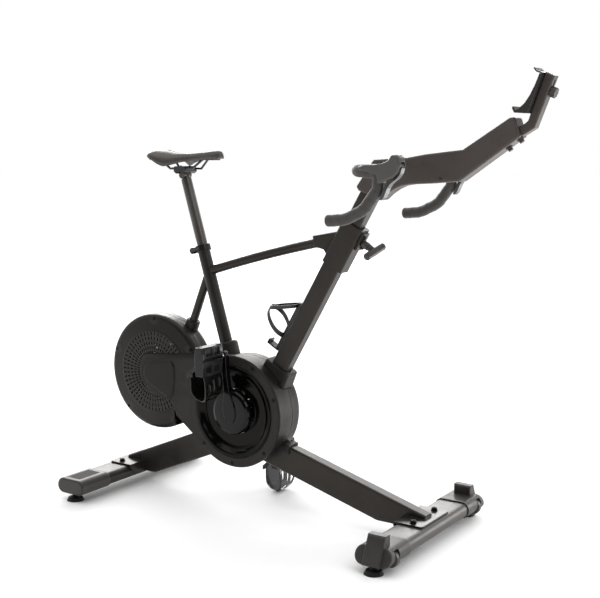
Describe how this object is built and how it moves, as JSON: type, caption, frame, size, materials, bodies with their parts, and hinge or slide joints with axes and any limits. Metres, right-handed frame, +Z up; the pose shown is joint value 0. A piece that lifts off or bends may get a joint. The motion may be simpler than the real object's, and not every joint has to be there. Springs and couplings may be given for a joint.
{
  "type": "indoor exercise bike",
  "caption": "Upright indoor training bike with enclosed rear flywheel, drop handlebar, toe-clip pedals and a tablet holder on a forward boom.",
  "frame": {"origin": "centre of the footprint box at floor height", "axes": "+X forward towards the handlebar, +Y towards the rider's left, +Z up"},
  "size_m": [1.437, 0.592, 1.2505],
  "materials": {
    "frame_paint": "satin",
    "stabilizer_paint": "satin",
    "housing_plastic": "satin",
    "gloss_cover": "gloss",
    "rear_cover": "satin gloss",
    "cap_plastic": "fine texture",
    "tape": "matte grip tape",
    "hood_rubber": "matte",
    "pad_vinyl": "fine grain",
    "saddle_shell": "satin",
    "bolt_steel": "dark zinc",
    "bright_steel": "machined",
    "rail_steel": "gloss",
    "black_alloy": "anodised black",
    "pulley_alloy": "machined",
    "flywheel_iron": "turned",
    "belt": "matte",
    "toe_plastic": "satin",
    "foot_rubber": "matte",
    "wheel_plastic": "matte"
  },
  "bodies": {
    "frame": {"front_leg": "frame_paint", "rear_leg": "frame_paint", "front_stabilizer": "stabilizer_paint", "rear_stabilizer": "stabilizer_paint", "end_caps": "cap_plastic", "bottom_bracket_shell": "frame_paint", "seat_tube": "frame_paint", "top_tube": "frame_paint", "seat_stay": "frame_paint", "column_tube": "frame_paint", "column_head": "frame_paint", "front_housing_right": "housing_plastic", "front_housing_left": "housing_plastic", "dish_covers": "gloss_cover", "tube_boots": "housing_plastic", "rear_housing_right": "rear_cover", "rear_housing_left": "rear_cover", "fasteners": "bolt_steel", "drive_belt": "belt", "bearings": "bright_steel", "flywheel_plates": "frame_paint", "pivot_pins": "bright_steel", "seat_collar": "black_alloy", "bottle_cage": "cap_plastic"},
    "crank": {"crank_arm_right": "black_alloy", "crank_arm_left": "black_alloy", "crank_pulley": "pulley_alloy", "pedal_axles": "bright_steel"},
    "flywheel": {"flywheel": "flywheel_iron", "flywheel_pulley_shaft": "bright_steel"},
    "magnet_carrier": {"magnet_carrier": "black_alloy"},
    "pedal_right": {"pedal_right": "toe_plastic", "toe_clip_right": "toe_plastic"},
    "pedal_left": {"pedal_left": "toe_plastic", "toe_clip_left": "toe_plastic"},
    "seatpost": {"seatpost": "frame_paint"},
    "saddle_cradle": {"saddle_clamp": "black_alloy"},
    "saddle": {"saddle_rails": "rail_steel", "saddle_base": "saddle_shell", "saddle_pad": "pad_vinyl"},
    "seat_lever": {"seat_lever": "black_alloy"},
    "mast": {"mast": "frame_paint", "boom": "frame_paint", "boom_clamp_cover": "cap_plastic", "tablet_post": "frame_paint", "tablet_rest": "cap_plastic", "handlebar": "frame_paint", "bar_tape": "tape", "lever_hoods": "hood_rubber"},
    "brake_lever_right": {"brake_lever_right": "black_alloy"},
    "brake_lever_left": {"brake_lever_left": "black_alloy"},
    "clamp_handle": {"clamp_handle": "cap_plastic"},
    "tablet_jaw": {"tablet_jaw": "cap_plastic"},
    "tablet_knob": {"tablet_knob": "cap_plastic"},
    "transport_wheel_right": {"transport_wheel_right": "wheel_plastic"},
    "transport_wheel_left": {"transport_wheel_left": "wheel_plastic"},
    "foot_front_right": {"foot_front_right": "foot_rubber"},
    "foot_front_left": {"foot_front_left": "foot_rubber"},
    "foot_rear_right": {"foot_rear_right": "foot_rubber"},
    "foot_rear_left": {"foot_rear_left": "foot_rubber"}
  },
  "joints": [
    {"name": "flywheel_spin", "type": "hinge", "parent": "frame", "child": "flywheel", "pos_m": [-0.532, 0, 0.3754], "axis": [0, 1, 0], "continuous": true},
    {"name": "crank_spin", "type": "hinge", "parent": "frame", "child": "crank", "pos_m": [-0.2136, 0, 0.295], "axis": [0, 1, 0], "continuous": true},
    {"name": "pedal_right_spin", "type": "hinge", "parent": "crank", "child": "pedal_right", "pos_m": [-0.23579, -0.153, 0.46355], "axis": [0, 1, 0], "continuous": true},
    {"name": "pedal_left_spin", "type": "hinge", "parent": "crank", "child": "pedal_left", "pos_m": [-0.19141, 0.153, 0.12645], "axis": [0, 1, 0], "continuous": true},
    {"name": "magnet_carrier_swing", "type": "hinge", "parent": "frame", "child": "magnet_carrier", "pos_m": [-0.66306, 0, 0.28363], "axis": [0, -1, 0], "range_deg": [0, 3]},
    {"name": "seatpost_height", "type": "slide", "parent": "frame", "child": "seatpost", "axis": [-0.289, 0, 0.9573], "range_m": [-0.15, 0.07]},
    {"name": "saddle_tilt", "type": "hinge", "parent": "seatpost", "child": "saddle_cradle", "pos_m": [-0.44019, 0, 0.98], "axis": [0, 1, 0], "range_deg": [-10, 6]},
    {"name": "saddle_fore_aft", "type": "slide", "parent": "saddle_cradle", "child": "saddle", "axis": [1, 0, 0], "range_m": [-0.02, 0.012]},
    {"name": "seat_lever_open", "type": "hinge", "parent": "frame", "child": "seat_lever", "pos_m": [-0.40261, -0.018, 0.75347], "axis": [0.289, 0, -0.9573], "range_deg": [0, 100]},
    {"name": "mast_height", "type": "slide", "parent": "frame", "child": "mast", "axis": [0.5, 0, 0.866], "range_m": [-0.085, 0.06]},
    {"name": "brake_lever_right_pull", "type": "hinge", "parent": "mast", "child": "brake_lever_right", "pos_m": [0.3894, -0.205, 0.992], "axis": [0, 1, 0], "range_deg": [0, 3], "stiffness_Nm_per_rad": 0.8, "springref_deg": -20.05},
    {"name": "brake_lever_left_pull", "type": "hinge", "parent": "mast", "child": "brake_lever_left", "pos_m": [0.3894, 0.205, 0.992], "axis": [0, 1, 0], "range_deg": [0, 3], "stiffness_Nm_per_rad": 0.8, "springref_deg": -20.05},
    {"name": "clamp_handle_turn", "type": "hinge", "parent": "frame", "child": "clamp_handle", "pos_m": [0.19186, 0, 0.7969], "axis": [0.866, 0, -0.5], "range_deg": [0, 360]},
    {"name": "tablet_jaw_slide", "type": "slide", "parent": "mast", "child": "tablet_jaw", "axis": [0.3381, 0, 0.9411], "range_m": [0, 0.026]},
    {"name": "tablet_knob_turn", "type": "hinge", "parent": "tablet_jaw", "child": "tablet_knob", "pos_m": [0.70785, 0, 1.19098], "axis": [0.9411, 0, -0.3381], "range_deg": [0, 360]},
    {"name": "transport_wheel_right_roll", "type": "hinge", "parent": "frame", "child": "transport_wheel_right", "pos_m": [0.4124, -0.243, 0.038], "axis": [0, 1, 0], "continuous": true},
    {"name": "transport_wheel_left_roll", "type": "hinge", "parent": "frame", "child": "transport_wheel_left", "pos_m": [0.4124, 0.243, 0.038], "axis": [0, 1, 0], "continuous": true},
    {"name": "foot_front_right_screw", "type": "hinge", "parent": "frame", "child": "foot_front_right", "pos_m": [0.3784, -0.27, 0.01], "axis": [0, 0, 1], "continuous": true},
    {"name": "foot_front_left_screw", "type": "hinge", "parent": "frame", "child": "foot_front_left", "pos_m": [0.3784, 0.27, 0.01], "axis": [0, 0, 1], "continuous": true},
    {"name": "foot_rear_right_screw", "type": "hinge", "parent": "frame", "child": "foot_rear_right", "pos_m": [-0.6656, -0.27, 0.01], "axis": [0, 0, 1], "continuous": true},
    {"name": "foot_rear_left_screw", "type": "hinge", "parent": "frame", "child": "foot_rear_left", "pos_m": [-0.6656, 0.27, 0.01], "axis": [0, 0, 1], "continuous": true}
  ],
  "couplings": [
    {"joint": "crank_spin", "follows": "flywheel_spin", "ratio": 0.2}
  ]
}
